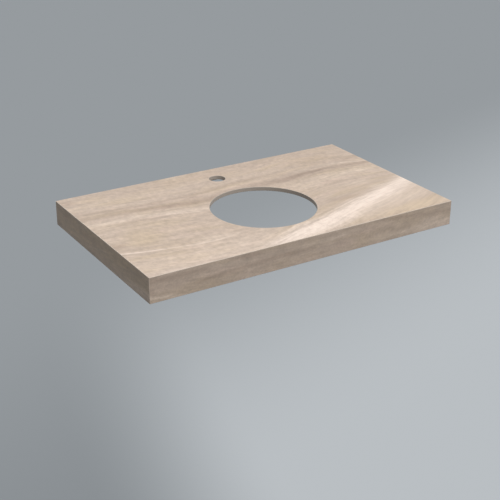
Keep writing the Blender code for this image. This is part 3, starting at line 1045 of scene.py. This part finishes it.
# %% Glass fibre and resin
GLASS_WARM, GLASS_WHITE = linear("#C9C3B2"), linear("#DEDACD")
FILM_DARK, FILM_PALE = linear("#A99A86"), linear("#BBAE9B")
GLASS_ROUGHNESS, FILM_ROUGHNESS = (0.35, 0.6), (0.25, 0.5)
THREAD_RELIEF, FILM_RELIEF = 0.05 * MM, 0.1 * MM


def bedded_glass():
    """Glass-fibre threads wetted with polyester resin: milky white, softly glossy."""
    made, add, place = new_finish("glass_fibre_net")
    wet = streaks(add, place, long=40, wide=40, detail=3, seed=6)
    fibre = streaks(add, place, long=1.5, wide=1.5, detail=2, seed=8)
    colour = toned(add, GLASS_WARM, GLASS_WHITE, wet, NARROW)
    return dress(made, colour, wet, GLASS_ROUGHNESS, fibre, THREAD_RELIEF)


def clear_film():
    """The resin film between the threads: it takes the brown of the clay behind it."""
    made, add, place = new_finish("resin_film")
    pool = streaks(add, place, long=25, wide=25, detail=4, seed=3)
    colour = toned(add, FILM_DARK, FILM_PALE, pool, NARROW)
    return dress(made, colour, pool, FILM_ROUGHNESS, pool, FILM_RELIEF)


GLASS, FILM = bedded_glass(), clear_film()

# %% Threads of a net
THREAD_PITCH = 5 * MM
THREAD_WIDTH = 1.1 * MM
THREAD_TOP_SHARE = 0.6
NET_FINISHES = [FILM, GLASS]
GLASS_SLOT = NET_FINISHES.index(GLASS)


def free_runs(across, low, high, holes):
    """The stretches of a thread from low to high that stay out of round holes."""
    stops = [low, high]
    for middle_across, middle_along, radius in holes:
        away = abs(across - middle_across)
        if away < radius:
            half = math.sqrt(radius ** 2 - away ** 2)
            stops += [middle_along - half, middle_along + half]
    stops.sort()
    return [(a, b) for a, b in zip(stops[::2], stops[1::2]) if b - a > THREAD_PITCH / 2]


def thread(shape, to_world, across, start, end, along_first, level, rise):
    """One thread as a closed bar. It lies along the net's first axis or its second."""
    foot, top = THREAD_WIDTH / 2, THREAD_WIDTH / 2 * THREAD_TOP_SHARE
    corners = [(across - foot, level), (across + foot, level)]
    corners += [(across + top, level + rise), (across - top, level + rise)]
    rings = [
        [to_world((at, c, w) if along_first else (c, at, w)) for c, w in corners]
        for at in (start, end)
    ]
    for face in skin(shape, rings):
        face.material_index = GLASS_SLOT


# %% Film of a net
NET_FACETS = 96


def film(shape, to_world, ends, holes, rise):
    """The resin film: a sheet with round holes, filled between its outlines and thickened."""
    outlines = [[(ends[0][i], ends[1][j]) for i, j in ((0, 0), (1, 0), (1, 1), (0, 1))]]
    around = full_turn(NET_FACETS)
    for u, v, radius in holes:
        outlines.append([(u + radius * math.cos(t), v + radius * math.sin(t)) for t in around])
    edges = []
    for outline in outlines:
        corners = [shape.verts.new((u, v, 0)) for u, v in outline]
        edges += [shape.edges.new(pair) for pair in zip(corners, corners[1:] + corners[:1])]
    filled = bmesh.ops.triangle_fill(shape, edges=edges, use_beauty=True, normal=(0, 0, 1))
    sheet = [face for face in filled["geom"] if isinstance(face, bmesh.types.BMFace)]
    swept = bmesh.ops.extrude_face_region(shape, geom=sheet, use_keep_orig=True)
    moved = [v for v in swept["geom"] if isinstance(v, bmesh.types.BMVert)]
    bmesh.ops.translate(shape, vec=(0, 0, rise), verts=moved)
    for vert in shape.verts:
        vert.co = to_world(vert.co)
    bmesh.ops.recalc_face_normals(shape, faces=shape.faces)
    if shape.calc_volume(signed=True) < 0:
        bmesh.ops.reverse_faces(shape, faces=shape.faces)


# %% Lay the nets
FILM_SHARE, THREAD_SHARE, LAYER_GAP_SHARE = 0.48, 0.24, 0.01


def make_net(name, first_axis, second_axis, out_axis, holes):
    """A net in its CAD node's box. Outward is away from the stone it is bonded to."""
    low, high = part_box(name)
    axes = [Vector(a) for a in (first_axis, second_axis, out_axis)]
    ends = [sorted((low.dot(a), high.dot(a))) for a in axes]
    deep = ends[2][1] - ends[2][0]

    def to_world(point):
        return axes[0] * point[0] + axes[1] * point[1] + axes[2] * (ends[2][0] + point[2])

    shape = bmesh.new()
    film(shape, to_world, ends, holes, deep * FILM_SHARE)
    level = deep * (FILM_SHARE + LAYER_GAP_SHARE)
    for along, across in ((0, 1), (1, 0)):
        span = ends[across][1] - ends[across][0]
        count = int(span / THREAD_PITCH)
        margin = (span - (count - 1) * THREAD_PITCH) / 2
        for k in range(count):
            at = ends[across][0] + margin + k * THREAD_PITCH
            turned = [(h[across], h[along], h[2]) for h in holes]
            for start, end in free_runs(at, *ends[along], turned):
                thread(shape, to_world, at, start, end, along == 0, level, deep * THREAD_SHARE)
        level += deep * (THREAD_SHARE + LAYER_GAP_SHARE)
    finish_piece(as_object(f"glass_fibre_{name}", shape, NET_FINISHES), "glass_net", name)


net_holes = [(at.x, at.y, radius) for at, radius in (
    hole_in("slab_net", *BASIN_SEARCH), hole_in("slab_net", *TAP_SEARCH),
)]
make_net("slab_net", RIGHT, BACK, DOWN, net_holes)
make_net("front_apron_net", RIGHT, UP, BACK, [])
make_net("left_apron_net", BACK, UP, RIGHT, [])
make_net("right_apron_net", BACK, UP, LEFT, [])

# %% [markdown]
# ## Ribs and rear strip
#
# These are strips ripped from the same slab. The model's own shapes are right, so they stay, and
# their material slots get the sawn finish.

# %% Sawn strips
def refinish(name, material):
    """Gives a CAD piece its finish, through its material slots alone."""
    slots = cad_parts[name].data.materials
    slots.clear()
    slots.append(material)
    print(name, "in", material.name)


for name in ("left_rib", "right_rib", "rear_strip"):
    refinish(name, SAWN_STRIP)

# %% [markdown]
# ## Fixing blocks
#
# The blocks are compact laminate: black kraft paper soaked in resin and pressed hard, with a matt
# melamine skin above and below. From the side the papers show as fine level lines, about ten to a
# millimetre on the real board. Lines that fine would only flicker here, so they are drawn 0.8 mm
# apart.

# %% Compact laminate
PAPER_PITCH, PAPER_RUN = 0.8, 50
PAPER_BLACK, PAPER_BROWN, SCUFFED = linear("#232325"), linear("#3A3532"), linear("#56524E")
BROWN_PAPERS, SCUFFS = (0.4, 0.65), ((0.6, 0.8), 0.35)
LAMINATE_ROUGHNESS = (0.45, 0.62)
SKIN_RELIEF = 0.04 * MM


def compact_laminate():
    """Kraft papers pressed in phenolic resin, edges sanded: near black, matt, with level lines."""
    made, add, place = new_finish("compact_laminate")
    papers = layers(add, place, PAPER_RUN, PAPER_PITCH)
    orange_peel = streaks(add, place, long=1.2, wide=1.2, detail=2, seed=3)
    scuffs = streaks(add, place, long=30, wide=6, detail=5, seed=7)
    colour = toned(add, PAPER_BLACK, PAPER_BROWN, papers, BROWN_PAPERS)
    colour = toned(add, colour, SCUFFED, scuffs, *SCUFFS)
    surface = add("Math", (papers, orange_peel), operation="ADD")
    return dress(made, colour, scuffs, LAMINATE_ROUGHNESS, surface, SKIN_RELIEF)


LAMINATE = compact_laminate()
CORNERS = ("front_left", "front_right", "rear_left", "rear_right")
for corner in CORNERS:
    refinish(corner + "_block", LAMINATE)

# %% [markdown]
# ## Epoxy under the ribs, the strip and the blocks
#
# What is glued to the net has a bed of the same epoxy. When the piece is pressed down, some of it
# squeezes out and stands as a small hollow fillet along the joint, wider in one place than in
# another. A bevel on the piece can't make it, because it belongs to the glue. So each bed is a stack
# of outlines round the piece's foot: the widest lies against the net, each next one is narrower
# and lower, and the last goes back up between the piece and the net. Where a bed has to stop, at the
# net's edge or at a neighbour, it is sawn off like a board.

# %% Shape of a bed
BED_LEG = 2.6 * MM
BED_WANDER_SHARE = 0.35
BED_WAVE = 22 * MM
BED_STEP = 4 * MM
BED_HOLLOW_SHARE = 0.3
BED_ARCS = 5
BED_PLAY = 0.04 * MM
REAR_SEED, BLOCK_SEED = 10, 20


def foot_rim(low, high):
    """Points round a rectangle, each with the direction in which the epoxy squeezes out."""
    places = ((low.x, low.y), (high.x, low.y), (high.x, high.y), (low.x, high.y))
    corners = [Vector((x, y, 0)) for x, y in places]
    normals = [Vector(side) for side in (FRONT, RIGHT, BACK, LEFT)]
    rim = []
    for i, normal in enumerate(normals):
        start, end, following = corners[i], corners[(i + 1) % 4], normals[(i + 1) % 4]
        count = max(1, round((end - start).length / BED_STEP))
        rim += [(start.lerp(end, k / count), normal) for k in range(count + 1)]
        rim.append((end, (normal + following).normalized()))
    return rim


def glue_bed(name, low, high, cuts, seed):
    """The bed of epoxy over the foot from low to high, sawn off at (point, outward) planes."""
    rim = foot_rim(low, high)
    waves = [noise.noise(at / BED_WAVE + Vector((0, 0, seed))) for at, _ in rim]
    legs = [BED_LEG * (1 + BED_WANDER_SHARE * wave) for wave in waves]
    top = net_low.z - BED_PLAY
    rings = []
    for i in range(BED_ARCS + 1):
        share = i / BED_ARCS
        hollow_share = BED_HOLLOW_SHARE * arch(share)
        ring = []
        for (at, out), leg in zip(rim, legs):
            place = at + out * (BED_PLAY + leg * (1 - share - hollow_share))
            ring.append((place.x, place.y, top - leg * (share - hollow_share)))
        rings.append(ring)
    inner = [at + out * BED_PLAY for at, out in rim]
    rings.append([(p.x, p.y, high.z + BED_PLAY) for p in inner])
    shape = bmesh.new()
    skin(shape, rings)
    for point, outward in cuts:
        saw(shape, point, outward)
    glue_piece(name, shape)


# %% Lay the beds
strip_low, strip_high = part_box("rear_strip")
rib_boxes = [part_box(name) for name in ("left_rib", "right_rib")]
clear_of_strip = strip_low.y - BED_LEG * (1 + BED_WANDER_SHARE)
for seed, (name, (low, high)) in enumerate(zip(("left", "right"), rib_boxes)):
    cuts = [((0, net_low.y, 0), FRONT), ((0, clear_of_strip, 0), BACK)]
    glue_bed(f"epoxy_{name}_rib_bed", low, high, cuts, seed)

rib_sides = [x for low, high in rib_boxes for x in (low.x - BED_PLAY, high.x + BED_PLAY)]
stretches = [net_low.x] + rib_sides + [net_high.x]
for k, name in ((0, "left"), (2, "middle"), (4, "right")):
    start, end = stretches[k], stretches[k + 1]
    low = Vector((start - BED_LEG, strip_low.y, strip_low.z))
    high = Vector((end + BED_LEG, strip_high.y, strip_high.z))
    cuts = [((start, 0, 0), LEFT), ((end, 0, 0), RIGHT), ((0, net_high.y, 0), BACK)]
    glue_bed(f"epoxy_rear_bed_{name}", low, high, cuts, REAR_SEED + k)

for seed, corner in enumerate(CORNERS):
    glue_bed(f"epoxy_{corner}_block_bed", *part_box(corner + "_block"), [], BLOCK_SEED + seed)

# %% [markdown]
# The rear strip lies under the slab's back edge, and the net stops short of it. The fitter fills
# that joint too, and wipes it with a finger, which leaves it slightly dished.

# %% Fill the rear joint
JOINT_BACK, JOINT_WANDER = 0.5 * MM, 0.25 * MM
JOINT_SEED = 40


def joint_section(station):
    """(inset, drop) pairs: the joint's face is dished and wanders; its inner side lies at the net."""
    tall = slab_low.z - strip_high.z - 2 * BED_PLAY
    deep = back_y - net_high.y - BED_PLAY
    face = JOINT_BACK + JOINT_WANDER * noise.noise(Vector((station / BEAD_WAVE, 0, JOINT_SEED)))
    return [(face, 0), (face + JOINT_WANDER, tall / 2), (face, tall), (deep, tall), (deep, 0)]


joint_start = (net_low.x, back_y, slab_low.z - BED_PLAY)
joint_run = net_high.x - net_low.x
joint = loft(joint_start, FRONT, DOWN, RIGHT, joint_run, joint_section, BED_STEP)
glue_piece("epoxy_rear_joint", joint)

# %% [markdown]
# ## Threaded inserts
#
# Each insert is turned from brass bar: an M8 thread inside, straight knurling outside in three
# bands, and grooves between them for the glue. A Screw modifier could wind the thread, but its ends
# would need trimming. Here the whole insert is one grid of rings, and each ring's radius is a
# formula: the thread's is a triangle wave that climbs one pitch a turn, and the countersink at each
# end wins wherever it is wider. The lathe tool's marks are finer than a tenth of a millimetre on
# the real piece, and are drawn 0.25 mm apart to show.

# %% Turned brass
BRASS_BRIGHT, BRASS_DULL = linear("#E3C583"), linear("#B8924D")
TARNISHED, BRASS_ROUGHNESS = (0.4, 0.7), (0.22, 0.4)
TOOL_PITCH, TOOL_RUN = 0.25, 20
TOOL_RELIEF = 0.02 * MM


def turned_brass():
    """Free-cutting brass from the lathe: warm metal with fine rings from the tool."""
    made, add, place = new_finish("turned_brass")
    tarnish = streaks(add, place, long=4, wide=4, detail=4, seed=2)
    tool = layers(add, place, TOOL_RUN, TOOL_PITCH, detail=1)
    colour = toned(add, BRASS_BRIGHT, BRASS_DULL, tarnish, TARNISHED)
    return dress(made, colour, tarnish, BRASS_ROUGHNESS, tool, TOOL_RELIEF, Metallic=1.0)


BRASS = turned_brass()

# %% Shape of an insert
THREAD_STEPS = 72
KNURLS = 36
KNURL_DEPTH = 0.25 * MM
M8_PITCH = 1.25 * MM
M8_DEPTH = 0.68 * MM
RINGS_A_PITCH = 8
CHAMFER = 0.6 * MM
GROOVES = 2
GROOVE_WIDTH, GROOVE_DEPTH = 1.5 * MM, 0.6 * MM
INSERT_BORE = 3.4 * MM
INSERT_SHARP = math.radians(50)


def wave(x):
    """A triangle wave between 0 and 1."""
    return abs(2 * (x - math.floor(x)) - 1)


def insert_shape(outer, bore, tall):
    """A threaded insert that stands on Z zero, as one closed grid of rings."""
    def thread_radius(turn, level):
        depth_here = M8_DEPTH * wave(level / M8_PITCH - turn / (2 * math.pi))
        end = min(level, tall - level)
        return max(bore + depth_here, bore + M8_DEPTH + CHAMFER - end)

    def knurl_radius(turn, level):
        return outer - KNURL_DEPTH * wave(turn * KNURLS / (2 * math.pi))

    def plain(radius):
        return lambda turn, level: radius

    groove_root = plain(outer - GROOVE_DEPTH)
    rows = [(0, plain(outer - CHAMFER)), (CHAMFER, knurl_radius)]
    step = tall / (GROOVES + 1)
    for k in range(1, GROOVES + 1):
        low, high = step * k - GROOVE_WIDTH / 2, step * k + GROOVE_WIDTH / 2
        rows += [(low, knurl_radius), (low, groove_root), (high, groove_root), (high, knurl_radius)]
    rows += [(tall - CHAMFER, knurl_radius), (tall, plain(outer - CHAMFER))]
    count = round(tall / M8_PITCH * RINGS_A_PITCH)
    rows += [(tall * (1 - i / count), thread_radius) for i in range(count + 1)]

    grid = []
    for level, radius_at in rows:
        radii = [(radius_at(turn, level), turn) for turn in full_turn(THREAD_STEPS)]
        grid.append([(r * math.cos(t), r * math.sin(t), level) for r, t in radii])
    shape = bmesh.new()
    skin(shape, grid, closed=True)
    return shape


# %% [markdown]
# The four inserts are alike, so they share one mesh: Blender then keeps it once, and a change to
# one insert is a change to all.

# %% Set the inserts
low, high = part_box(CORNERS[0] + "_insert")
shape = insert_shape((high.x - low.x) / 2, INSERT_BORE, high.z - low.z)
insert_mesh = as_mesh("insert", shape, [BRASS])
insert_mesh.shade_smooth()
insert_mesh.set_sharp_from_angle(angle=INSERT_SHARP)
for corner in CORNERS:
    low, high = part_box(corner + "_insert")
    insert = in_scene(f"brass_{corner}_insert", insert_mesh)
    insert.location = ((low.x + high.x) / 2, (low.y + high.y) / 2, low.z)
    finish_piece(insert, "brass", corner + "_insert")

# %% [markdown]
# ## The end
#
# Last, the scene is brought up to date.

# %% Finish
bpy.context.view_layer.update()
